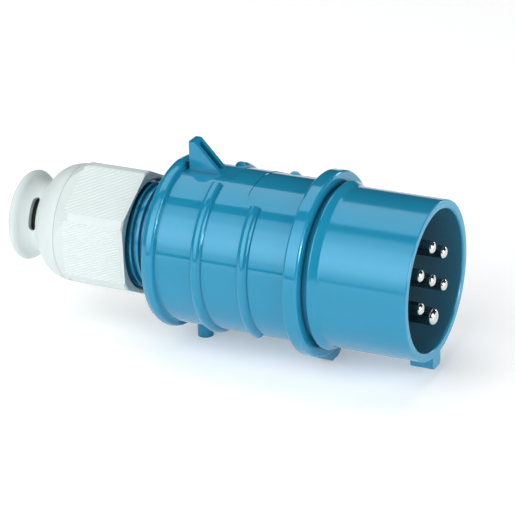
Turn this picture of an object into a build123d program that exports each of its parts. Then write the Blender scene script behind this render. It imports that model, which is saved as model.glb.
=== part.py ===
from build123d import *
import math
import os

os.makedirs("parts", exist_ok=True)

# Driving sizes in millimetres. Stations are distances behind the mouth of the sleeve.
body_radius = 32.2
body_wall = 2.6
body_length = 55.6
sleeve_step = 0.7
sleeve_wall = 3.5
collar_start = 36.0
collar_length = 3.75
collar_step = 1.0
collar_edge = 0.7
groove_width = 2.45
flange_thickness = 6.2
flange_step = 4.6
nose_drop = 3.6
rim_length = 6.6
rim_rise = 2.6
nut_reach = 10.5
nut_length = 31.5
nut_wall = 2.1
bell_length = 24.8
neck_radius = 14.5
lip_flare = 3.9
pin_radius = 2.5
earth_radius = 3.5
thread_pitch = 3.0
thread_core = 20.0
thread_height = 1.5
seal_bore = 9.0

# Clearances shared by mating pieces
slip = 0.1
seat_gap = 0.2
thread_gap = 0.4
thrust_gap = 0.3

# Roundings shared by the mouldings
fine_round = 0.3
edge_round = 0.5
soft_round = 0.8
wide_round = 3.0

# Stations that follow from the driving sizes
collar_rear = collar_start + collar_length
flange_front = collar_rear + groove_width
flange_rear = flange_front + flange_thickness
seat_inset = 1.4
seat_step = flange_front + seat_inset
gasket_thickness = 1.2
seat_floor = seat_step + gasket_thickness
rim_front = flange_rear + body_length
rim_rear = rim_front + rim_length
spout_root = rim_rear + 0.2 * rim_length
nut_front = spout_root + nut_reach
nut_rear = nut_front + nut_length
bell_end = nut_rear + bell_length
shoulder_depth = 7.0
shoulder = nut_rear - shoulder_depth
ring_thickness = 1.7
ring_rear = shoulder - thrust_gap
ring_front = ring_rear - ring_thickness
seal_proud = 0.3
squeeze_gap = 0.7
spout_end = ring_front - thread_pitch - squeeze_gap - seal_proud
carrier_recess = 1.2
carrier_rim = 3.0
carrier_seat = flange_front - carrier_recess
carrier_front = carrier_seat - carrier_rim
tail_length = 17.6
tail_end = flange_rear + tail_length
terminal_end = tail_end + carrier_rim

# Radii that follow from the driving sizes
sleeve_radius = body_radius - sleeve_step
sleeve_bore = sleeve_radius - sleeve_wall
collar_radius = body_radius + collar_step
groove_depth = 0.3
groove_radius = sleeve_radius - groove_depth
flange_radius = body_radius + flange_step
rim_radius = body_radius + rim_rise
axis_height = flange_radius + nose_drop
body_bore = body_radius - body_wall
tail_radius = body_bore - slip
tail_wall = 3.0
tail_bore = tail_radius - tail_wall
pin_circle = 0.49 * sleeve_bore
barrel_extra = 1.5
screw_reach = 1.8
screw_clear = 2.3
earth_circle = tail_bore - screw_reach * (earth_radius + barrel_extra) - screw_clear
thread_crest = thread_core + thread_height
nut_bore = thread_crest + thread_gap
spout_wall = 2.5
spout_bore = thread_core - spout_wall

mouth_x = bell_end / 2
plug_axis = Axis((mouth_x, 0, axis_height), (1, 0, 0))


def across(station: float) -> Plane:
    """Plane square to the plug's axis, local x to the far side and local y up."""
    return Plane(origin=(mouth_x - station, 0, axis_height), x_dir=(0, 1, 0), z_dir=(1, 0, 0))


def spoke(angle: float) -> Plane:
    """Plane through the axis, local x to the mouth, local y outwards at an angle from the far side."""
    turn = math.radians(angle)
    return Plane(
        origin=(mouth_x, 0, axis_height),
        x_dir=(1, 0, 0),
        z_dir=(0, -math.sin(turn), math.cos(turn)),
    )


def outward(angle: float, station: float, radius: float) -> Plane:
    """Plane that faces outwards at a radius from the axis, local x along the axis."""
    turn = math.radians(angle)
    centre = (mouth_x - station, radius * math.cos(turn), axis_height + radius * math.sin(turn))
    return Plane(origin=centre, x_dir=(1, 0, 0), z_dir=(0, math.cos(turn), math.sin(turn)))


def ring(points: list, angle: float = 90.0) -> Sketch:
    """Closed profile on a plane through the axis, from (station, radius, corner radius) points."""
    with BuildSketch(spoke(angle)) as profile:
        with BuildLine():
            FilletPolyline(
                *[(-station, radius) for station, radius, corner in points],
                radius=[corner for station, radius, corner in points],
                close=True,
            )
        make_face()
    return profile.sketch


def rib_profile(station: float, width: float, crest: float, angle: float) -> Sketch:
    """Rounded cross section of a grip rib, with its foot sunk in the body wall."""
    foot = body_radius - rib_root
    with BuildSketch(spoke(angle)) as profile:
        with BuildLine():
            Line((-station + width / 2, body_radius), (-station + width / 2, foot))
            Line((-station + width / 2, foot), (-station - width / 2, foot))
            Line((-station - width / 2, foot), (-station - width / 2, body_radius))
            ThreePointArc(
                (-station - width / 2, body_radius),
                (-station, crest),
                (-station + width / 2, body_radius),
            )
        make_face()
    return profile.sketch


def thread_path(first: float, last: float, radius: float) -> Edge:
    """Right-hand helix round the plug's axis, from the rear station to the front one."""
    return Edge.make_helix(
        pitch=thread_pitch,
        height=last - first,
        radius=radius,
        center=(mouth_x - last, 0, axis_height),
        normal=(1, 0, 0),
    )


def thread_section(path: Edge, foot: float, tip: float, foot_width: float, tip_width: float) -> Sketch:
    """Trapezoid square to the start of a helix, given by its radial and axial sizes."""
    start = path @ 0
    radial = Vector(0, start.Y, start.Z - axis_height)
    radius = radial.length
    with BuildSketch(Plane(origin=start, x_dir=radial, z_dir=path % 0)) as section:
        with BuildLine():
            Polyline(
                (foot - radius, -foot_width / 2),
                (tip - radius, -tip_width / 2),
                (tip - radius, tip_width / 2),
                (foot - radius, foot_width / 2),
                close=True,
            )
        make_face()
    return section.sketch


# Front sleeve: round shroud, flared collar, tail in the housing and the key under the mouth
key_width = 7.6
key_length = 9.5
key_height = 4.9
key_drop = sleeve_radius + key_height
key_round = 1.6
key_root = 1.0
bead_station = tail_end - 7.0
bead_width = 2.0
bead_height = 0.4
with BuildPart() as front_sleeve:
    revolve(
        ring([
            (0, sleeve_bore, soft_round),
            (0, sleeve_radius, edge_round),
            (collar_start, sleeve_radius, wide_round),
            (collar_rear - collar_edge, collar_radius, fine_round),
            (collar_rear, collar_radius, fine_round),
            (collar_rear, groove_radius, fine_round),
            (seat_step, groove_radius, 0),
            (seat_step, tail_radius, 0),
            (bead_station - bead_width, tail_radius, 0),
            (bead_station, tail_radius + bead_height, 0),
            (bead_station + bead_width / 2, tail_radius, 0),
            (tail_end, tail_radius, edge_round),
            (tail_end, tail_bore, 0),
            (carrier_seat, tail_bore, 0),
            (carrier_seat, sleeve_bore, 0),
        ]),
        axis=plug_axis,
    )
    with BuildSketch(across(0)):
        key_top = sleeve_radius - key_root
        with Locations((0, -(key_drop + key_top) / 2)):
            Rectangle(key_width, key_drop - key_top)
    extrude(amount=-key_length)
    fillet(front_sleeve.edges().filter_by(Axis.X).group_by(Axis.Z)[0], radius=key_round)
front_sleeve.part.label = "front_sleeve"
export_step(front_sleeve.part, "parts/front_sleeve.step")

# Gasket between the sleeve and the seat in the flange
seat_radius = groove_radius + seat_gap
with BuildPart() as flange_gasket:
    with BuildSketch(across(seat_step)):
        Circle(groove_radius)
        Circle(tail_radius + seat_gap, mode=Mode.SUBTRACT)
    extrude(amount=-gasket_thickness)
flange_gasket.part.label = "flange_gasket"
export_step(flange_gasket.part, "parts/flange_gasket.step")

# Recess of the label field, cut from the top of the body between the flange and the ribs
label_end = flange_rear + 0.433 * body_length
label_half_width = 15.8
label_depth = 0.25
label_corner = 4.0
with BuildPart() as label_field:
    with BuildSketch(Plane.XY.offset(axis_height)):
        label_start = flange_rear - 3 * label_corner
        with Locations((mouth_x - (label_end + label_start) / 2, 0)):
            RectangleRounded(label_end - label_start, 2 * label_half_width, label_corner)
    extrude(amount=2 * body_radius)
    revolve(
        ring([
            (flange_rear, body_radius - label_depth, 0),
            (flange_rear, 2 * body_radius, 0),
            (label_end + 12, 2 * body_radius, 0),
            (label_end + 12, body_radius - label_depth, 0),
        ]),
        axis=plug_axis,
        mode=Mode.INTERSECT,
    )

# Housing: flanged shell with grip ribs, rear rim, fin, stud and threaded spout
flange_round = 1.2
nose_half_angle = 26.0
nose_flat = 4.4
nose_round = 1.4
nose_inset = 0.6
rib_width = 5.0
rib_root = 0.4
long_rib = flange_rear + 0.69 * body_length
long_rib_crest = body_radius + 1.9
long_rib_start = 109.0
short_rib = flange_rear + 0.335 * body_length
short_rib_crest = body_radius + 1.7
short_rib_start = 124.0
short_rib_sweep = 109.0
fin_rear = rim_front - 1.6
fin_top_front = fin_rear - 2.5
fin_top = body_radius + 11.4
fin_foot_front = fin_rear - 15.1
fin_foot = body_bore + 0.4
fin_half_width = 3.2
fin_slot = 2.6
fin_slot_rear = fin_rear - 3.0
fin_slot_top = fin_top - 0.8
fin_slot_foot = body_radius + 0.3
pad_front = rim_front - 22.0
pad_half_width = 6.2
pad_height = math.sqrt(body_radius**2 - pad_half_width**2)
stud_station = rim_front - 4.3
stud_radius = 3.25
stud_root = 1.5
shoulder_radius = thread_core + 5.0
funnel_wall = 1.7
funnel_inset = 1.5
seal_length = 17.0
seal_stop = spout_end - seal_length
stop_length = 3.0
stop_bore = spout_bore - 3.0
thread_first = spout_root + 1.8
thread_last = spout_end - 1.5
thread_foot_width = 1.7
thread_tip_width = 0.8
thread_sink = 0.3
with BuildPart() as housing:
    revolve(
        ring([
            (flange_front, seat_radius, fine_round),
            (flange_front, flange_radius, flange_round),
            (flange_rear, flange_radius, flange_round),
            (flange_rear, body_radius, soft_round),
            (rim_front, body_radius, 0.15 * rim_rise),
            (rim_front + 0.12 * rim_length, rim_radius - 0.2 * rim_rise, 0.4 * rim_rise),
            (rim_front + 0.45 * rim_length, rim_radius, 0.8 * rim_rise),
            (rim_rear - 0.2 * rim_length, rim_radius - 0.35 * rim_rise, 0.5 * rim_rise),
            (rim_rear, rim_radius - 1.3 * rim_rise, 0.4 * rim_rise),
            (spout_root, shoulder_radius, soft_round),
            (spout_root, thread_core, edge_round),
            (spout_end, thread_core, soft_round),
            (spout_end, spout_bore, fine_round),
            (seal_stop, spout_bore, 0),
            (seal_stop, stop_bore, edge_round),
            (seal_stop - stop_length, stop_bore, edge_round),
            (seal_stop - stop_length, spout_bore, 0),
            (spout_root - funnel_wall, spout_bore, soft_round),
            (rim_front + funnel_inset, body_bore, 2 * soft_round),
            (bead_station + bead_width, body_bore, 0),
            (bead_station + bead_width / 2, body_bore + bead_height + slip, 0),
            (bead_station - 1.2 * bead_width, body_bore + bead_height + slip, 0),
            (bead_station - 1.5 * bead_width, body_bore, 0),
            (seat_floor, body_bore, 0),
            (seat_floor, seat_radius, 0),
        ]),
        axis=plug_axis,
    )
    with BuildSketch(across(flange_front + nose_inset)):
        tangent_y = flange_radius * math.sin(math.radians(nose_half_angle))
        tangent_z = -flange_radius * math.cos(math.radians(nose_half_angle))
        with BuildLine():
            FilletPolyline(
                (-tangent_y, tangent_z),
                (-nose_flat / 2 - nose_inset, -axis_height),
                (nose_flat / 2 + nose_inset, -axis_height),
                (tangent_y, tangent_z),
                radius=[nose_round, nose_round],
            )
            Line((tangent_y, tangent_z), (-tangent_y, tangent_z))
        make_face()
        Circle(flange_radius - flange_round, mode=Mode.SUBTRACT)
    extrude(amount=-(flange_thickness - 2 * nose_inset))
    with BuildSketch(Plane.XY.offset(axis_height + pad_height)):
        with Locations((mouth_x - (pad_front + rim_front) / 2, 0)):
            Rectangle(rim_front - pad_front, 3 * pad_half_width)
    extrude(amount=rim_rise, mode=Mode.SUBTRACT)
    add(label_field.part, mode=Mode.SUBTRACT)
    revolve(
        rib_profile(long_rib, rib_width, long_rib_crest, long_rib_start),
        axis=plug_axis,
        revolution_arc=540 - 2 * long_rib_start,
    )
    for start in (short_rib_start, 540 - short_rib_start - short_rib_sweep):
        revolve(
            rib_profile(short_rib, rib_width, short_rib_crest, start),
            axis=plug_axis,
            revolution_arc=short_rib_sweep,
        )
    with BuildSketch(spoke(90)):
        with BuildLine():
            Polyline(
                (-fin_rear, fin_foot),
                (-fin_rear, fin_top),
                (-fin_top_front, fin_top),
                (-fin_foot_front, fin_foot),
                close=True,
            )
        make_face()
    extrude(amount=fin_half_width, both=True)
    with BuildSketch(spoke(90)):
        with BuildLine():
            Polyline(
                (-fin_slot_rear, fin_slot_foot),
                (-fin_slot_rear, fin_slot_top),
                (-fin_foot_front, fin_slot_top),
                (-fin_foot_front, fin_slot_foot),
                close=True,
            )
        make_face()
    extrude(amount=fin_slot / 2, both=True, mode=Mode.SUBTRACT)
    with BuildSketch(Plane.XY):
        with Locations((mouth_x - stud_station, 0)):
            Circle(stud_radius)
    extrude(amount=axis_height - body_radius + stud_root)
    outer_thread = thread_path(thread_first, thread_last, thread_core)
    sweep(
        thread_section(
            outer_thread,
            thread_core - thread_sink,
            thread_crest,
            thread_foot_width,
            thread_tip_width,
        ),
        path=outer_thread,
        is_frenet=True,
    )
housing.part.label = "housing"
export_step(housing.part, "parts/housing.step")

# Pins: name, place on the contact face, radius, barrel radius and direction of the terminal screw
carrier_floor = 7.0
barrel_start = carrier_front + carrier_floor
barrel_recess = 2.0
barrel_end = terminal_end - barrel_recess
screw_inset = 5.0
screw_station = barrel_end - screw_inset
wire_depth = 12.5
shank_step = 0.5
shank_proud = 0.5
tip_station = 0.8
earth_tip_station = 0.0
pin_angles = (90, 30, -30, 210, 150)
pins = []
for number, angle in enumerate(pin_angles, start=1):
    turn = math.radians(angle)
    place = (pin_circle * math.cos(turn), pin_circle * math.sin(turn))
    pins.append((f"pin_{number}", place, pin_radius, angle, pin_circle, f"terminal_screw_{number}"))
pins.append(("pin_6", (0, 0), pin_radius, 0, 0, "terminal_screw_6"))
pins.append(("earth_pin", (0, -earth_circle), earth_radius, -90, earth_circle, "earth_screw"))

screw_ratio = 0.8
screw_slot_width = 0.8
screw_slot_depth = 1.0
tip_ratio = 0.6
screw_foot = 0.3
barrel_wall = 1.7
for name, place, radius, angle, reach, screw_name in pins:
    barrel_radius = radius + barrel_extra
    screw_radius = screw_ratio * radius
    tip = tip_station if radius == pin_radius else earth_tip_station
    with BuildPart() as pin:
        with BuildSketch(across(barrel_end)):
            with Locations(place):
                Circle(barrel_radius)
        extrude(amount=barrel_end - barrel_start)
        with BuildSketch(across(barrel_start)):
            with Locations(place):
                Circle(radius + shank_step)
        extrude(amount=barrel_start - carrier_front + shank_proud)
        with BuildSketch(across(carrier_front)):
            with Locations(place):
                Circle(radius)
        extrude(amount=carrier_front - tip)
        fillet(pin.faces().sort_by(Axis.X)[-1].edges(), radius=tip_ratio * radius)
        with BuildSketch(across(barrel_end)):
            with Locations(place):
                Circle(barrel_radius - barrel_wall)
        extrude(amount=wire_depth, mode=Mode.SUBTRACT)
        with BuildSketch(outward(angle, screw_station, reach)):
            Circle(screw_radius + slip / 2)
        extrude(amount=2 * barrel_radius, mode=Mode.SUBTRACT)
    pin.part.label = name
    export_step(pin.part, f"parts/{name}.step")
    with BuildPart() as screw:
        with BuildSketch(outward(angle, screw_station, reach + screw_foot * barrel_radius)):
            Circle(screw_radius)
        extrude(amount=(screw_reach - screw_foot) * barrel_radius)
        with BuildSketch(outward(angle, screw_station, reach + screw_reach * barrel_radius)):
            Rectangle(screw_slot_width, 3 * screw_radius)
        extrude(amount=-screw_slot_depth, mode=Mode.SUBTRACT)
    screw.part.label = screw_name
    export_step(screw.part, f"parts/{screw_name}.step")

# Contact carrier: disc on the sleeve's seat, with a chamber and a screw channel for each terminal
block_step = 3.0
block_radius = tail_bore - block_step
skirt_length = 7.0
block_start = barrel_start + skirt_length
channel_gap = 0.6
with BuildPart() as contact_carrier:
    revolve(
        ring([
            (carrier_front, 0, 0),
            (carrier_front, sleeve_bore - seat_gap, edge_round),
            (carrier_seat, sleeve_bore - seat_gap, 0),
            (carrier_seat, tail_bore - seat_gap, 0),
            (block_start, tail_bore - seat_gap, 0),
            (block_start, block_radius, 0),
            (terminal_end, block_radius, edge_round),
            (terminal_end, 0, 0),
        ]),
        axis=plug_axis,
    )
    for name, place, radius, angle, reach, screw_name in pins:
        barrel_radius = radius + barrel_extra
        with BuildSketch(across(carrier_front)):
            with Locations(place):
                Circle(radius + shank_step + slip / 2)
        extrude(amount=-(terminal_end - carrier_front), mode=Mode.SUBTRACT)
        with BuildSketch(across(terminal_end)):
            with Locations(place):
                Circle(barrel_radius + slip)
        extrude(amount=terminal_end - barrel_start, mode=Mode.SUBTRACT)
        with BuildSketch(outward(angle, screw_station, reach)):
            Circle(screw_ratio * radius + channel_gap)
        extrude(amount=2 * block_radius, mode=Mode.SUBTRACT)
contact_carrier.part.label = "contact_carrier"
export_step(contact_carrier.part, "parts/contact_carrier.step")

# Cable seal: coned bush in the spout and a long sleeve to the neck of the bell mouth
seal_cone = 2.0
seal_shoulder = 1.5
neck_inset = 10.3
neck_station = bell_end - neck_inset
neck_wall = 2.5
neck_bore = neck_radius - neck_wall
sleeve_gap = 1.0
seal_sleeve = neck_bore - sleeve_gap
seal_end = neck_station + 0.6 * neck_inset
with BuildPart() as cable_seal:
    revolve(
        ring([
            (seal_stop, seal_bore, 0),
            (seal_stop, spout_bore - seat_gap, edge_round),
            (spout_end - seal_shoulder, spout_bore - seat_gap, 0),
            (spout_end + seal_proud, spout_bore - seal_cone, 0),
            (spout_end + seal_proud, seal_sleeve, edge_round),
            (seal_end, seal_sleeve, fine_round),
            (seal_end, seal_bore, fine_round),
        ]),
        axis=plug_axis,
    )
cable_seal.part.label = "cable_seal"
export_step(cable_seal.part, "parts/cable_seal.step")

# Gland nut: six-sided with rounded corners, shoulder for the thrust ring and an inner thread
nut_lip = 3.9
nut_opening = nut_bore - nut_lip
nut_inradius = nut_bore + nut_wall
nut_corner_radius = 1.117 * nut_inradius
nut_chamfer = 0.6
thread_lead = 0.9
inner_first = nut_front + 2.5
inner_last = thread_last - thread_pitch / 2
nut_turn = 1.5
with BuildPart() as gland_nut:
    with BuildSketch(across(nut_rear)):
        RegularPolygon(nut_inradius, 6, major_radius=False, rotation=90 + nut_turn)
    extrude(amount=nut_length)
    revolve(
        ring([
            (nut_front, nut_bore + thread_lead, 0),
            (nut_front, nut_corner_radius - nut_chamfer, 0),
            (nut_front + nut_chamfer, nut_corner_radius, 0),
            (shoulder, nut_corner_radius, wide_round),
            (nut_rear, nut_inradius, 0),
            (nut_rear, nut_opening, 0),
            (shoulder, nut_opening, 0),
            (shoulder, nut_bore, 0),
            (nut_front + thread_lead, nut_bore, 0),
        ]),
        axis=plug_axis,
        mode=Mode.INTERSECT,
    )
    inner_thread = thread_path(inner_first, inner_last, nut_bore)
    sweep(
        thread_section(
            inner_thread,
            nut_bore + thread_sink,
            thread_core + thread_gap,
            thread_foot_width,
            thread_tip_width,
        ),
        path=inner_thread,
        is_frenet=True,
    )
gland_nut.part.label = "gland_nut"
export_step(gland_nut.part, "parts/gland_nut.step")

# Thrust ring between the nut's shoulder and the cable seal
ring_rim = 0.9
ring_bore = neck_radius - 2.0
ring_face = ring_bore + 3.0
ring_radius = nut_bore - 1.0
with BuildPart() as thrust_ring:
    revolve(
        ring([
            (ring_rear, ring_bore, 0),
            (ring_rear, ring_radius, 0),
            (ring_rear - ring_rim, ring_radius, 0),
            (ring_front, ring_face, 0),
            (ring_front, ring_bore, fine_round),
        ]),
        axis=plug_axis,
    )
thrust_ring.part.label = "thrust_ring"
export_step(thrust_ring.part, "parts/thrust_ring.step")

# Bell mouth: hollow dome, neck and flared lip, with a strap slot on each side of the neck
lip_inset = 2.5
lip_station = bell_end - lip_inset
lip_radius = neck_radius + lip_flare
lip_wall = 2.4
lip_bore = lip_radius - lip_wall
dome_wall = 3.6
dome_drop = nut_inradius - neck_radius
seam_groove = 0.35
spigot_radius = nut_opening - slip
spigot_wall = 2.5
spigot_bore = nut_opening - spigot_wall
spigot_gap = 2.5
spigot_front = shoulder + spigot_gap
slot_station = neck_station + 0.5
slot_length = 13.5
slot_width = 3.4
slot_angles = (153, 333)
with BuildPart() as bell_mouth:
    with BuildSketch(spoke(90)):
        with BuildLine():
            Polyline(
                (-nut_rear, spigot_radius),
                (-nut_rear, nut_inradius - seam_groove),
                (-nut_rear - seam_groove, nut_inradius),
            )
            Spline(
                (-nut_rear - seam_groove, nut_inradius),
                (-nut_rear - 0.16 * bell_length, nut_inradius - 0.06 * dome_drop),
                (-neck_station + 0.28 * bell_length, neck_radius + 0.76 * dome_drop),
                (-neck_station + 0.16 * bell_length, neck_radius + 0.44 * dome_drop),
                (-neck_station, neck_radius),
                (-neck_station - 0.12 * bell_length, neck_radius + 0.1 * lip_flare),
                (-lip_station + 0.08 * bell_length, lip_radius - 0.42 * lip_flare),
                (-lip_station, lip_radius),
                tangents=[(-1, -0.03), (-1, 0.4)],
            )
            ThreePointArc(
                (-lip_station, lip_radius),
                (-bell_end + 0.24 * lip_inset, lip_radius - 0.2 * lip_flare),
                (-bell_end, lip_bore),
            )
            Spline(
                (-bell_end, lip_bore),
                (-neck_station - 0.12 * bell_length, neck_bore + 0.15 * lip_flare),
                (-neck_station, neck_bore),
            )
            Polyline(
                (-neck_station, neck_bore),
                (-neck_station + 0.18 * bell_length, neck_bore),
                (-nut_rear - 0.24 * bell_length, nut_inradius - 1.17 * dome_wall),
                (-nut_rear - 0.12 * bell_length, nut_inradius - dome_wall),
                (-nut_rear, spigot_bore),
                (-spigot_front, spigot_bore),
                (-spigot_front, spigot_radius),
                (-nut_rear, spigot_radius),
            )
        make_face()
    revolve(axis=plug_axis)
    for angle in slot_angles:
        with BuildSketch(outward(angle, slot_station, neck_bore - neck_wall)):
            SlotOverall(slot_length, slot_width, rotation=90)
        extrude(amount=lip_radius, mode=Mode.SUBTRACT)
bell_mouth.part.label = "bell_mouth"
export_step(bell_mouth.part, "parts/bell_mouth.step")
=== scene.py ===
import logging
import math
from dataclasses import dataclass
from enum import Enum

import bmesh
import bpy
from mathutils import Matrix, Vector


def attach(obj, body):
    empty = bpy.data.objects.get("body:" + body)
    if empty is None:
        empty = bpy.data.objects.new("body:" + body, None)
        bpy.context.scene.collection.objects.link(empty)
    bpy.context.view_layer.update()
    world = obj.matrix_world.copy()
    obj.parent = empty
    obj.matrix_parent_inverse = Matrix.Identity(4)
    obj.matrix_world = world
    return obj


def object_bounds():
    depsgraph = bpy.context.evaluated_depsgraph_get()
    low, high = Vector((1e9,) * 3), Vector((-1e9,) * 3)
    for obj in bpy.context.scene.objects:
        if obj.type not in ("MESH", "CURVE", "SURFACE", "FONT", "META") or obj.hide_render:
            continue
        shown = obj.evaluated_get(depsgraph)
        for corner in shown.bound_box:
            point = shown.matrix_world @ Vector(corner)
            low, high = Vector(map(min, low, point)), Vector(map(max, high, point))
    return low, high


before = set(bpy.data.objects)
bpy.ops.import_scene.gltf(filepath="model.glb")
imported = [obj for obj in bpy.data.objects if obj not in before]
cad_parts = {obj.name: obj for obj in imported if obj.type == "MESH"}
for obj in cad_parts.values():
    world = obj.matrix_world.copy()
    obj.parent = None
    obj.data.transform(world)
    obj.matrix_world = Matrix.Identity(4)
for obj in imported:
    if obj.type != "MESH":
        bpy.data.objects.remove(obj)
CAD_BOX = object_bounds()

LOG = logging.getLogger("plug")
MM = 0.001
Colour = tuple[float, float, float]
Stops = tuple[tuple[float, float], ...]
Socket = bpy.types.NodeSocket


class Body(Enum):
    """Rigid bodies of the plug."""

    PLUG = "plug"
    THRUST = "thrust"
    NUT = "nut"


class Finish(Enum):
    """Finishes of the plug."""

    GLOSSY_BLUE = "blue moulding of the housing"
    SATIN_BLUE = "blue moulding of the sleeve"
    CARRIER = "dark moulding of the contact carrier"
    PIN = "plated metal of the pins"
    SCREW = "zinc steel of the screws"
    RUBBER = "black rubber of the seals"
    WHITE = "white moulding of the gland"
    # The rib finish is painted light: a lighter copy of the nut's white, for light on the rib crests against
    # shade between them.
    RIB = "white moulding of the grip ribs, rubbed bright"


class Aim(Enum):
    """Ways a softbox can face."""

    AXIS = "square to the plug's axis, long edges along it"
    PLUG = "straight at the middle of the plug"


class Ramp(Enum):
    """Ways a value goes from one end of a range to the other."""

    EVEN = "LINEAR"
    EASED = "SMOOTHSTEP"


@dataclass(frozen=True)
class Piece:
    """A finished piece and the body that carries it."""

    name: str
    body: Body


@dataclass(frozen=True)
class Grain:
    """Noise of a surface: cells per metre, octaves, and weight of the finer octaves."""

    scale: float
    detail: float = 3.0
    rough: float = 0.5


class Graph:
    """Builder for the node tree of one material.

    The noise core is the range that most of a noise lies in. The crevice range runs from a point that
    is closed in to one that stands free. The mix sockets are the colour ones of Blender's Mix node.
    """

    noise_core: tuple[float, float] = (0.3, 0.7)
    crevice_range: tuple[float, float] = (0.15, 0.75)
    crevice_rays: int = 8
    mix_share: int = 0
    mix_first: int = 6
    mix_second: int = 7
    mix_result: int = 2

    def __init__(self, name: str) -> None:
        """Start a material with a plain Principled shader.

        Args:
            name: Name of the new material.
        """
        self.material = bpy.data.materials.new(name)
        self.material.use_nodes = True
        self.tree = self.material.node_tree
        self.shader = self.tree.nodes["Principled BSDF"]
        self.place = self.tree.nodes.new("ShaderNodeTexCoord").outputs["Object"]

    def add(self, kind: str, inputs: dict[str | int, object], **settings: object) -> bpy.types.Node:
        """Add a node, set its properties, and link or set its inputs.

        Args:
            kind: Blender's node type.
            inputs: Sockets to link from, or values, by input name or number.
            settings: Properties of the node itself.

        Returns:
            The new node.
        """
        node = self.tree.nodes.new(kind)
        for key, value in settings.items():
            setattr(node, key, value)
        for key, value in inputs.items():
            self.feed(node.inputs[key], value)
        return node

    def feed(self, socket: Socket, value: object) -> None:
        """Link a socket from another socket, or set its constant.

        Args:
            socket: Input to fill.
            value: Output socket, number or colour.
        """
        if isinstance(value, Socket):
            self.tree.links.new(value, socket)
        else:
            socket.default_value = value

    def noise(self, grain: Grain) -> Socket:
        """Noise over the object's own coordinates.

        Args:
            grain: Size and make of the noise.

        Returns:
            The noise value's socket.
        """
        node = self.add(
            "ShaderNodeTexNoise",
            {"Vector": self.place, "Scale": grain.scale, "Detail": grain.detail, "Roughness": grain.rough},
        )
        return node.outputs[0]

    def remap(self, value: Socket, old: tuple[float, float], new: tuple[float, float], ramp: Ramp) -> Socket:
        """Map one range of a value to another.

        Args:
            value: Socket to map.
            old: Ends of the range it comes in.
            new: Results at those ends.
            ramp: Way from one end to the other.

        Returns:
            The mapped socket.
        """
        node = self.add(
            "ShaderNodeMapRange",
            {"Value": value, "From Min": old[0], "From Max": old[1], "To Min": new[0], "To Max": new[1]},
            interpolation_type=ramp.value,
        )
        return node.outputs[0]

    def spread(self, grain: Grain, low: float, high: float) -> Socket:
        """Noise whose core fills the range from low to high."""
        return self.remap(self.noise(grain), self.noise_core, (low, high), Ramp.EVEN)

    def blend(self, share: Socket, first: Socket | Colour, second: Colour) -> Socket:
        """Mix two colours.

        Args:
            share: Share of the second colour.
            first: Colour or socket at share 0.
            second: Colour at share 1.

        Returns:
            The mixed colour's socket.
        """
        base = first if isinstance(first, Socket) else (*first, 1.0)
        node = self.add("ShaderNodeMix", {}, data_type="RGBA")
        self.feed(node.inputs[self.mix_share], share)
        self.feed(node.inputs[self.mix_first], base)
        self.feed(node.inputs[self.mix_second], (*second, 1.0))
        return node.outputs[self.mix_result]

    def relief(self, height: Socket, strength: float, depth: float, under: Socket | None = None) -> Socket:
        """Bump from a height.

        Args:
            height: Height socket.
            strength: Share of the bump that shows.
            depth: Height in metres.
            under: Normal socket of a coarser bump, if there is one.

        Returns:
            The normal's socket.
        """
        node = self.add("ShaderNodeBump", {"Height": height, "Strength": strength, "Distance": depth})
        if under is not None:
            self.feed(node.inputs["Normal"], under)
        return node.outputs[0]

    def crevices(self, reach: float, strength: float, alone: bool) -> Socket:
        """Share of painted shade, which is strongest where a surface is closed in.

        Args:
            reach: How far a neighbouring surface closes it in, in metres.
            strength: Share in the deepest corner.
            alone: Whether only the piece's own surfaces count.

        Returns:
            The share's socket.
        """
        node = self.add(
            "ShaderNodeAmbientOcclusion", {"Distance": reach}, samples=self.crevice_rays, only_local=alone)
        return self.remap(node.outputs["AO"], self.crevice_range, (strength, 0.0), Ramp.EVEN)

    def finish(self, sockets: dict[str, object]) -> bpy.types.Material:
        """Fill the shader's sockets.

        Args:
            sockets: Values or sockets by input name.

        Returns:
            The finished material.
        """
        for key, value in sockets.items():
            self.feed(self.shader.inputs[key], value)
        return self.material


@dataclass(frozen=True)
class MouldedPlastic:
    """Moulded plastic with flow shading, specks, a fine skin, light handling marks and painted shade where it
    is closed in.
    """

    name: str
    colour: Colour
    shade: Colour
    gloss: tuple[float, float]
    skin_depth: float
    metallic: float = 0.0
    mottle: float = 0.35
    # Painted shade: the colour the tone darkens to where the surface is closed in, with its reach, its share
    # and whether only the piece's own surfaces count.
    painted_shade: Colour = (0.02, 0.03, 0.035)
    painted_shade_reach: float = 0.006
    painted_shade_share: float = 0.0
    painted_shade_alone: bool = False
    flow: Grain = Grain(38.0, 4.0, 0.55)
    specks: Grain = Grain(1400.0, 2.0, 0.6)
    speck_share: float = 0.12
    handling: Grain = Grain(160.0, 5.0, 0.65)
    waves: Grain = Grain(55.0, 2.0)
    wave_share: float = 0.12
    wave_depth: float = 0.00025
    skin: Grain = Grain(2600.0, 3.0, 0.6)
    skin_share: float = 0.25

    def material(self) -> bpy.types.Material:
        """Build the plastic's material.

        Returns:
            The material.
        """
        graph = Graph(self.name)
        tone = graph.blend(graph.spread(self.flow, 0.0, self.mottle), self.colour, self.shade)
        tone = graph.blend(graph.spread(self.specks, 0.0, self.speck_share), tone, self.shade)
        # Painted shade darkens the tone where the surface is closed in.
        if self.painted_shade_share:
            closed = graph.crevices(self.painted_shade_reach, self.painted_shade_share, self.painted_shade_alone)
            tone = graph.blend(closed, tone, self.painted_shade)
        waves = graph.relief(graph.noise(self.waves), self.wave_share, self.wave_depth)
        return graph.finish({
            "Base Color": tone,
            "Roughness": graph.spread(self.handling, *self.gloss),
            "Metallic": self.metallic,
            "Normal": graph.relief(graph.noise(self.skin), self.skin_share, self.skin_depth, waves),
        })


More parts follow.
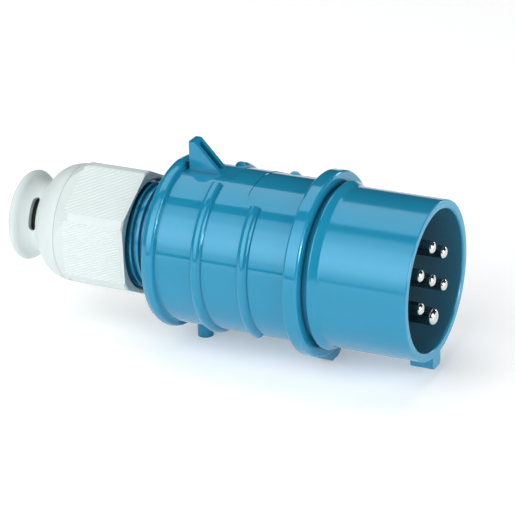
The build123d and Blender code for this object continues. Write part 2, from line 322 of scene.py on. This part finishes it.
@dataclass(frozen=True)
class TurnedMetal:
    """Plated metal with the fine rings that turning leaves, and painted shade where it is closed in."""

    name: str
    colour: Colour
    tarnish: Colour
    gloss: tuple[float, float]
    ring_scale: float
    ring_depth: float
    ring_share: float = 0.35
    ring_waver: float = 0.6
    ring_detail: float = 2.0
    # Painted shade: the colour the metal darkens to where it is closed in, with its reach and share.
    painted_shade_tone: Colour = (0.05, 0.05, 0.055)
    painted_shade_tone_reach: float = 0.03
    painted_shade_tone_share: float = 0.0
    stains: Grain = Grain(420.0, 4.0, 0.6)
    stain_share: float = 0.4
    wear: Grain = Grain(900.0)

    def material(self) -> bpy.types.Material:
        """Build the metal's material.

        Returns:
            The material.
        """
        graph = Graph(self.name)
        tone = graph.blend(graph.spread(self.stains, 0.0, self.stain_share), self.colour, self.tarnish)
        # Painted shade darkens the metal where it is closed in.
        if self.painted_shade_tone_share:
            tone = graph.blend(graph.crevices(self.painted_shade_tone_reach, self.painted_shade_tone_share, False), tone, self.painted_shade_tone)
        rings = graph.add(
            "ShaderNodeTexWave",
            {
                "Vector": graph.place,
                "Scale": self.ring_scale,
                "Distortion": self.ring_waver,
                "Detail": self.ring_detail,
            },
            bands_direction="X",
        )
        return graph.finish({
            "Base Color": tone,
            "Roughness": graph.spread(self.wear, *self.gloss),
            "Metallic": 1.0,
            "Normal": graph.relief(rings.outputs[1], self.ring_share, self.ring_depth),
        })


@dataclass(frozen=True)
class SoftRubber:
    """Matt rubber with bloom and a grained skin."""

    name: str
    colour: Colour
    bloom: Colour
    bloom_share: float = 0.5
    matt: tuple[float, float] = (0.62, 0.82)
    clouds: Grain = Grain(90.0, 5.0, 0.6)
    wear: Grain = Grain(300.0)
    skin: Grain = Grain(1800.0, 4.0, 0.7)
    skin_share: float = 0.5
    skin_depth: float = 0.00008

    def material(self) -> bpy.types.Material:
        """Build the rubber's material.

        Returns:
            The material.
        """
        graph = Graph(self.name)
        return graph.finish({
            "Base Color": graph.blend(
                graph.spread(self.clouds, 0.0, self.bloom_share), self.colour, self.bloom),
            "Roughness": graph.spread(self.wear, *self.matt),
            "Normal": graph.relief(graph.noise(self.skin), self.skin_share, self.skin_depth),
        })


@dataclass(frozen=True)
class PaleFloor:
    """Pale studio table, lit through from below, and more so far from the plug, with a faint mottle."""

    name: str
    colour: Colour
    shade: Colour
    glow: tuple[float, float]
    glow_edges: tuple[float, float] = (0.45, 1.7)
    clouds: Grain = Grain(3.0)
    cloud_share: float = 0.3
    matt: float = 0.7
    sheen: float = 0.2

    def material(self) -> bpy.types.Material:
        """Build the floor's material.

        Returns:
            The material.
        """
        graph = Graph(self.name)
        tone = graph.blend(graph.spread(self.clouds, 0.0, self.cloud_share), self.colour, self.shade)
        away = graph.add("ShaderNodeVectorMath", {0: graph.place}, operation="LENGTH").outputs["Value"]
        return graph.finish({
            "Base Color": tone,
            "Roughness": self.matt,
            "Specular IOR Level": self.sheen,
            "Emission Color": tone,
            "Emission Strength": graph.remap(away, self.glow_edges, self.glow, Ramp.EASED),
        })


BLUE = (0.0132, 0.246, 0.414)
BLUE_SHADE = (0.0112, 0.219, 0.372)

FINISHES = {
    Finish.GLOSSY_BLUE: MouldedPlastic(
        name="blue_glossy",
        colour=BLUE,
        shade=BLUE_SHADE,
        gloss=(0.06, 0.11),
        skin_depth=0.000006,
        metallic=0.15,
        # Painted shade darkens the housing where parts close it in: at the spout, its threads and the groove
        # before the flange.
        painted_shade_share=0.6,
    ),
    Finish.SATIN_BLUE: MouldedPlastic(
        name="blue_satin",
        colour=BLUE,
        shade=BLUE_SHADE,
        gloss=(0.12, 0.18),
        skin_depth=0.000012,
        metallic=0.15,
        # Painted shade darkens the inside of the sleeve to a slate tone, counting only the sleeve's own
        # walls.
        painted_shade=(0.11, 0.14, 0.16),
        painted_shade_reach=0.07,
        painted_shade_share=0.95,
        painted_shade_alone=True,
    ),
    Finish.CARRIER: MouldedPlastic(
        name="carrier_moulded",
        colour=(0.03, 0.045, 0.06),
        shade=(0.02, 0.03, 0.04),
        gloss=(0.45, 0.6),
        skin_depth=0.00005,
    ),
    Finish.PIN: TurnedMetal(
        name="pin_nickel",
        colour=(0.68, 0.725, 0.73),
        tarnish=(0.5, 0.53, 0.53),
        gloss=(0.1, 0.2),
        ring_scale=900.0,
        ring_depth=0.000012,
        # Painted shade darkens the pins where the shroud and the carrier close them in.
        painted_shade_tone_share=0.9,
    ),
    Finish.SCREW: TurnedMetal(
        name="screw_zinc",
        colour=(0.62, 0.62, 0.6),
        tarnish=(0.4, 0.4, 0.38),
        gloss=(0.28, 0.45),
        ring_scale=700.0,
        ring_depth=0.00002,
    ),
    Finish.RUBBER: SoftRubber(
        name="seal_rubber",
        colour=(0.012, 0.012, 0.013),
        bloom=(0.03, 0.031, 0.034),
    ),
    Finish.WHITE: MouldedPlastic(
        name="white_moulded",
        colour=(0.597, 0.666, 0.661),
        shade=(0.559, 0.64, 0.634),
        gloss=(0.38, 0.5),
        skin_depth=0.000004,
        mottle=0.5,
    ),
    # Painted light: a lighter copy of the nut's white stands for light on the crests of the ribs and shade
    # between them.
    Finish.RIB: MouldedPlastic(
        name="white_ribs",
        colour=(0.642, 0.713, 0.708),
        shade=(0.62, 0.695, 0.69),
        gloss=(0.42, 0.5),
        skin_depth=0.000002,
        mottle=0.5,
    ),
}

FLOOR = PaleFloor(
    name="pale_floor",
    colour=(0.9, 0.9, 0.9),
    shade=(0.87, 0.88, 0.89),
    glow=(0.31, 0.85),
)


class Palette:
    """All finishes of the plug, made once and handed to its sub-assemblies."""

    def __init__(self) -> None:
        """Make one material for each finish."""
        self.materials = {key: finish.material() for key, finish in FINISHES.items()}

    def dress(self, nodes: list[str], finish: Finish) -> None:
        """Give CAD nodes a finish.

        Args:
            nodes: Names of the nodes.
            finish: Finish to give them.
        """
        for name in nodes:
            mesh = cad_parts[name].data
            mesh.materials.clear()
            mesh.materials.append(self.materials[finish])

    def paint(self, piece: bpy.types.Object, finish: Finish) -> None:
        """Give a new piece a finish."""
        piece.data.materials.append(self.materials[finish])


@dataclass(frozen=True)
class PlugAxis:
    """The plug's axis, in metres: it runs along X at one height, forwards to the mouth of the sleeve."""

    mouth: float = CAD_BOX[1][0]
    height: float = 40.4 * MM

    def at(self, x: float) -> Vector:
        """Point of the axis at an x of the frame."""
        return Vector((x, 0.0, self.height))


AXIS = PlugAxis()


@dataclass
class FrontSleeve:
    """Shroud with its key, and the gasket behind its collar."""

    shroud: str = "front_sleeve"
    gasket: str = "flange_gasket"

    def assemble(self, palette: Palette) -> list[Piece]:
        """Dress the sleeve.

        Args:
            palette: Finishes of the plug.

        Returns:
            The sleeve's pieces.
        """
        palette.dress([self.shroud], Finish.SATIN_BLUE)
        palette.dress([self.gasket], Finish.RUBBER)
        return [Piece(name, Body.PLUG) for name in (self.shroud, self.gasket)]


@dataclass
class Housing:
    """Flanged and ribbed shell with its threaded spout."""

    shell: str = "housing"

    def assemble(self, palette: Palette) -> list[Piece]:
        """Dress the housing, and give its one piece."""
        palette.dress([self.shell], Finish.GLOSSY_BLUE)
        return [Piece(self.shell, Body.PLUG)]


@dataclass
class Contacts:
    """Contact carrier, its pins and their terminal screws."""

    carrier: str = "contact_carrier"
    phases: int = 6

    def assemble(self, palette: Palette) -> list[Piece]:
        """Dress the contacts.

        Args:
            palette: Finishes of the plug.

        Returns:
            The contacts' pieces.
        """
        numbers = range(1, self.phases + 1)
        pins = [f"pin_{number}" for number in numbers] + ["earth_pin"]
        screws = [f"terminal_screw_{number}" for number in numbers] + ["earth_screw"]
        palette.dress([self.carrier], Finish.CARRIER)
        palette.dress(pins, Finish.PIN)
        palette.dress(screws, Finish.SCREW)
        return [Piece(name, Body.PLUG) for name in (self.carrier, *pins, *screws)]


@dataclass
class CableGland:
    """Seal, thrust ring, six-sided nut with slanted grip ribs, and bell mouth.

    Sizes are in millimetres and degrees. Stations run to the rear from the mouth of the sleeve, and
    angles turn up from the far side. The ribs are drawn from the mould along one direction, so their slant,
    pitch, width and height are those on a flat square to it, and on the other flats they are steeper,
    further apart and lower. The taper gives the share of a rib's section by distance from its end.
    """

    flats: int = 6
    first_flat: float = 121.5
    inradius: float = 24.0
    corner_radius: float = 26.8
    grip_front: float = 123.9
    grip_rear: float = 149.6
    grip_margin: float = 0.35
    draw_angle: float = 174.5
    slant: float = 22.0
    rib_pitch: float = 1.045
    rib_width: float = 0.76
    rib_height: float = 0.1
    rib_sink: float = 0.06
    rib_steps: int = 6
    tip_width: float = 0.35
    taper: Stops = ((0.0, 0.1), (0.4, 0.8), (0.9, 1.0))
    slot: str = "white_plastic"

    def assemble(self, palette: Palette) -> list[Piece]:
        """Dress the gland's nodes and rib its nut.

        Args:
            palette: Finishes of the plug.

        Returns:
            The gland's pieces.
        """
        # The cable seal is black rubber; where it lies behind the bell's tie slot it is a dark sheet that
        # stands for the shade inside the bell.
        palette.dress(["cable_seal"], Finish.RUBBER)
        palette.dress(["thrust_ring", "gland_nut", "bell_mouth"], Finish.WHITE)
        ribs = self.grip_ribs()
        palette.paint(ribs, Finish.RIB)
        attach(ribs, Body.NUT.value)
        turning = [Piece(name, Body.NUT) for name in ("gland_nut", "bell_mouth", ribs.name)]
        return [Piece("cable_seal", Body.PLUG), Piece("thrust_ring", Body.THRUST), *turning]

    def grip_ribs(self) -> bpy.types.Object:
        """Build the slanted ribs of all the flats as one piece.

        Returns:
            The ribs' object.
        """
        mesh = bmesh.new()
        for flat in range(self.flats):
            angle = self.first_flat + 360.0 * flat / self.flats
            for start, end in self.rib_lines(angle):
                self.add_rib(mesh, angle, start, end)
        bmesh.ops.recalc_face_normals(mesh, faces=mesh.faces)
        data = bpy.data.meshes.new("nut_grip_ribs")
        mesh.to_mesh(data)
        mesh.free()
        data.shade_smooth()
        piece = bpy.data.objects.new("nut_grip_ribs", data)
        bpy.context.scene.collection.objects.link(piece)
        return piece

    def squareness(self, angle: float) -> float:
        """Share of a flat, facing an angle, that lies square to the draw."""
        return abs(math.cos(math.radians(angle - self.draw_angle)))

    def rib_run(self, angle: float) -> Vector:
        """Direction of a flat's ribs, whose length is the share of the full density they have there."""
        slant = math.radians(self.slant)
        return Vector((math.cos(slant) * self.squareness(angle), math.sin(slant)))

    def rib_lines(self, angle: float) -> list[tuple[Vector, Vector]]:
        """Centre lines of one flat's ribs, clipped to the flat.

        Args:
            angle: Direction the flat faces.

        Returns:
            Pairs of points, forwards along the axis and upwards across the flat.
        """
        run = self.rib_run(angle)
        pitch = self.rib_pitch / run.length
        along = run.normalized()
        across = Vector((-along.y, along.x))
        middle = Vector((-(self.grip_front + self.grip_rear) / 2, 0.0))
        half_length = (self.grip_rear - self.grip_front) / 2
        half_width = math.sqrt(self.corner_radius**2 - self.inradius**2) - self.grip_margin
        shortest = 2 * self.taper[-1][0]
        count = int((half_length * along.y + half_width * along.x) / pitch)
        lines = []
        for number in range(-count, count + 1):
            base = middle + across * number * pitch
            spans = [
                sorted((middle[i] + side * half - base[i]) / along[i] for side in (-1, 1))
                for i, half in enumerate((half_length, half_width))
            ]
            first = max(span[0] for span in spans)
            last = min(span[1] for span in spans)
            if last - first > shortest:
                lines.append((base + along * first, base + along * last))
        return lines

    def add_rib(self, mesh: bmesh.types.BMesh, angle: float, start: Vector, end: Vector) -> None:
        """Add one rounded rib with tapered ends.

        Args:
            mesh: Mesh to add to.
            angle: Direction the flat faces.
            start: First end on the flat.
            end: Other end.
        """
        length = (end - start).length
        along = (end - start).normalized()
        stops = [*self.taper, *((length - stop, size) for stop, size in reversed(self.taper))]
        rings = [self.rib_ring(mesh, angle, start + along * stop, size) for stop, size in stops]
        for first, second in zip(rings, rings[1:]):
            for near, point in enumerate(first):
                far = (near + 1) % len(first)
                mesh.faces.new((point, first[far], second[far], second[near]))
        mesh.faces.new(rings[0])
        mesh.faces.new(rings[-1])

    def rib_ring(
        self, mesh: bmesh.types.BMesh, angle: float, centre: Vector, size: float
    ) -> list[bmesh.types.BMVert]:
        """Add the points of a rib's rounded cross section.

        Args:
            mesh: Mesh to add to.
            angle: Direction the flat faces.
            centre: Middle of the section on the flat.
            size: Share of the full section.

        Returns:
            The points, from one edge of the rib over its crest to the other.
        """
        turn = math.radians(angle)
        out = Vector((0.0, math.cos(turn), math.sin(turn)))
        side = Vector((0.0, out.z, -out.y))
        run = self.rib_run(angle)
        width = self.rib_width / run.length * (self.tip_width + (1 - self.tip_width) * size)
        half = Vector((-run.y, run.x)).normalized() * width / 2
        crest = (self.rib_height * self.squareness(angle) + self.rib_sink) * size
        points = []
        for step in range(self.rib_steps + 1):
            bow = math.pi * step / self.rib_steps
            spot = centre + half * math.cos(bow)
            lift = self.inradius - self.rib_sink + crest * math.sin(bow)
            foot = AXIS.at(AXIS.mouth + spot.x * MM)
            points.append(mesh.verts.new(foot + side * spot.y * MM + out * lift * MM))
        return points


@dataclass(frozen=True)
class Softbox:
    """Flat rectangular light beside the plug, given in metres and degrees.

    The angle turns round the plug's axis, up from the far side. The span is the angle that the light
    fills, seen from the axis. The shift is how far it stands forwards of the plug's middle. The profile
    gives shares of the radiance from one long edge, at 0, to the other, at 1.
    """

    name: str
    angle: float
    span: float
    radiance: float
    distance: float = 1.3
    length: float = 1.7
    shift: float = -0.57
    aim: Aim = Aim.AXIS
    profile: Stops = ()

    def hang(self, target: Vector) -> None:
        """Hang the light.

        Args:
            target: Point it faces.
        """
        lamp = bpy.data.lights.new(self.name, "AREA")
        lamp.shape = "RECTANGLE"
        depth = 2 * self.distance * math.tan(math.radians(self.span / 2))
        lamp.size, lamp.size_y = self.length, depth
        lamp.energy = self.radiance * math.pi * self.length * depth
        if self.profile:
            self.shade(lamp)
        piece = bpy.data.objects.new(self.name, lamp)
        bpy.context.scene.collection.objects.link(piece)
        turn = math.radians(self.angle)
        along = Vector((1.0, 0.0, 0.0))
        out = Vector((0.0, math.cos(turn), math.sin(turn)))
        reach = along * self.shift + out * self.distance
        if self.aim is Aim.PLUG:
            turned = reach.to_track_quat("Z", "Y").to_matrix()
        else:
            turned = Matrix((along, out.cross(along), out)).transposed()
        piece.matrix_world = Matrix.Translation(target + reach) @ turned.to_4x4()

    def shade(self, lamp: bpy.types.Light) -> None:
        """Fade the light across its depth, as the cloth of a softbox does.

        Args:
            lamp: Light to fade.
        """
        lamp.use_nodes = True
        tree = lamp.node_tree
        place = tree.nodes.new("ShaderNodeNewGeometry")
        parts = tree.nodes.new("ShaderNodeSeparateXYZ")
        ramp = tree.nodes.new("ShaderNodeValToRGB")
        ramp.color_ramp.interpolation = "EASE"
        stops = ramp.color_ramp.elements
        for spot, _ in self.profile[1:-1]:
            stops.new(spot)
        for stop, (_, share) in zip(stops, self.profile):
            stop.color = (share, share, share, 1.0)
        tree.links.new(place.outputs["Parametric"], parts.inputs[0])
        tree.links.new(parts.outputs["Y"], ramp.inputs[0])
        tree.links.new(ramp.outputs[0], tree.nodes["Emission"].inputs["Color"])


SOFTBOXES = (
    Softbox(
        name="front_softbox",
        angle=143.0,
        span=69.0,
        radiance=3.4,
        profile=((0.0, 0.32), (0.11, 0.48), (0.26, 0.85), (0.4, 1.0), (0.67, 0.8), (0.81, 0.52), (1.0, 0.36)),
    ),
    Softbox(name="top_softbox", angle=75.0, span=42.0, radiance=1.8),
    Softbox(
        name="mouth_softbox",
        angle=130.0,
        span=60.0,
        radiance=4.2,
        distance=0.6,
        length=0.7,
        shift=1.15,
        aim=Aim.PLUG,
    ),
    Softbox(
        name="mouth_lamp",
        angle=100.0,
        span=80.0,
        radiance=24.0,
        distance=0.12,
        length=0.4,
        shift=1.3,
        aim=Aim.PLUG,
    ),
    Softbox(
        name="far_lamp",
        angle=11.0,
        span=10.0,
        radiance=9.0,
        distance=1.2,
        length=0.25,
        shift=0.52,
        aim=Aim.PLUG,
    ),
)


@dataclass
class Studio:
    """Floor, softboxes and the room's dim surround. The haze is the sine of its height over the horizon."""

    floor_size: float = 6.0
    floor_tiles: int = 8
    surround: float = 0.45
    horizon: float = 0.12
    haze: float = 0.06
    view_transform: str = "Standard"

    def build(self) -> None:
        """Set up the floor, the lights and the world."""
        self.lay_floor()
        for box in SOFTBOXES:
            box.hang(AXIS.at(0.0))
        self.fill_world()
        bpy.context.scene.view_settings.view_transform = self.view_transform

    def lay_floor(self) -> None:
        """Lay a flat square table top under the plug."""
        mesh = bmesh.new()
        bmesh.ops.create_grid(
            mesh, x_segments=self.floor_tiles, y_segments=self.floor_tiles, size=self.floor_size / 2)
        data = bpy.data.meshes.new("studio_floor")
        mesh.to_mesh(data)
        mesh.free()
        data.materials.append(FLOOR.material())
        floor = bpy.data.objects.new("studio_floor", data)
        bpy.context.scene.collection.objects.link(floor)

    def fill_world(self) -> None:
        """Make the room dim above and darker round the horizon."""
        world = bpy.data.worlds.new("studio_room")
        bpy.context.scene.world = world
        world.use_nodes = True
        tree = world.node_tree
        place = tree.nodes.new("ShaderNodeTexCoord")
        parts = tree.nodes.new("ShaderNodeSeparateXYZ")
        ramp = tree.nodes.new("ShaderNodeMapRange")
        ramp.interpolation_type = Ramp.EASED.value
        ends = {"From Min": 0.0, "From Max": self.haze, "To Min": self.horizon, "To Max": self.surround}
        for name, value in ends.items():
            ramp.inputs[name].default_value = value
        tree.links.new(place.outputs["Generated"], parts.inputs[0])
        tree.links.new(parts.outputs["Z"], ramp.inputs["Value"])
        tree.links.new(ramp.outputs[0], tree.nodes["Background"].inputs["Strength"])


@dataclass
class PhotoCamera:
    """Camera fitted to the photograph: angles in degrees, lengths in metres, focal length in pixels."""

    azimuth: float = 26.09
    elevation: float = 23.84
    roll: float = -1.70
    distance: float = 1.0
    focal: float = 2627.39
    image: float = 515.0
    mouth_pixel: tuple[float, float] = (436.74, 281.21)
    sensor: float = 36.0
    clip_end: float = 20.0

    def place(self) -> None:
        """Put the camera where the mouth of the sleeve lands on its pixel."""
        turn, tilt = math.radians(self.azimuth), math.radians(self.elevation)
        back = Vector((math.sin(turn) * math.cos(tilt), -math.cos(turn) * math.cos(tilt), math.sin(tilt)))
        level = Vector((math.cos(turn), math.sin(turn), 0.0))
        right = Matrix.Rotation(math.radians(self.roll), 3, back) @ level
        up = back.cross(right)
        shift_x = (self.mouth_pixel[0] - self.image / 2) * self.distance / self.focal
        shift_y = (self.image / 2 - self.mouth_pixel[1]) * self.distance / self.focal
        spot = AXIS.at(AXIS.mouth) - right * shift_x - up * shift_y + back * self.distance
        data = bpy.data.cameras.new("photo_camera")
        data.sensor_width = self.sensor
        data.lens = self.sensor * self.focal / self.image
        data.clip_end = self.clip_end
        camera = bpy.data.objects.new("photo_camera", data)
        bpy.context.scene.collection.objects.link(camera)
        turned = Matrix((right, up, back)).transposed().to_4x4()
        camera.matrix_world = Matrix.Translation(spot) @ turned
        bpy.context.scene.camera = camera


def main() -> None:
    """Build the sub-assemblies in order, then light and frame the plug."""
    logging.basicConfig(level=logging.INFO)
    palette = Palette()
    for part in (FrontSleeve(), Housing(), Contacts(), CableGland()):
        for piece in part.assemble(palette):
            LOG.info("%s: %s on %s", type(part).__name__, piece.name, piece.body.value)
    Studio().build()
    PhotoCamera().place()


if __name__ == "__main__":
    main()
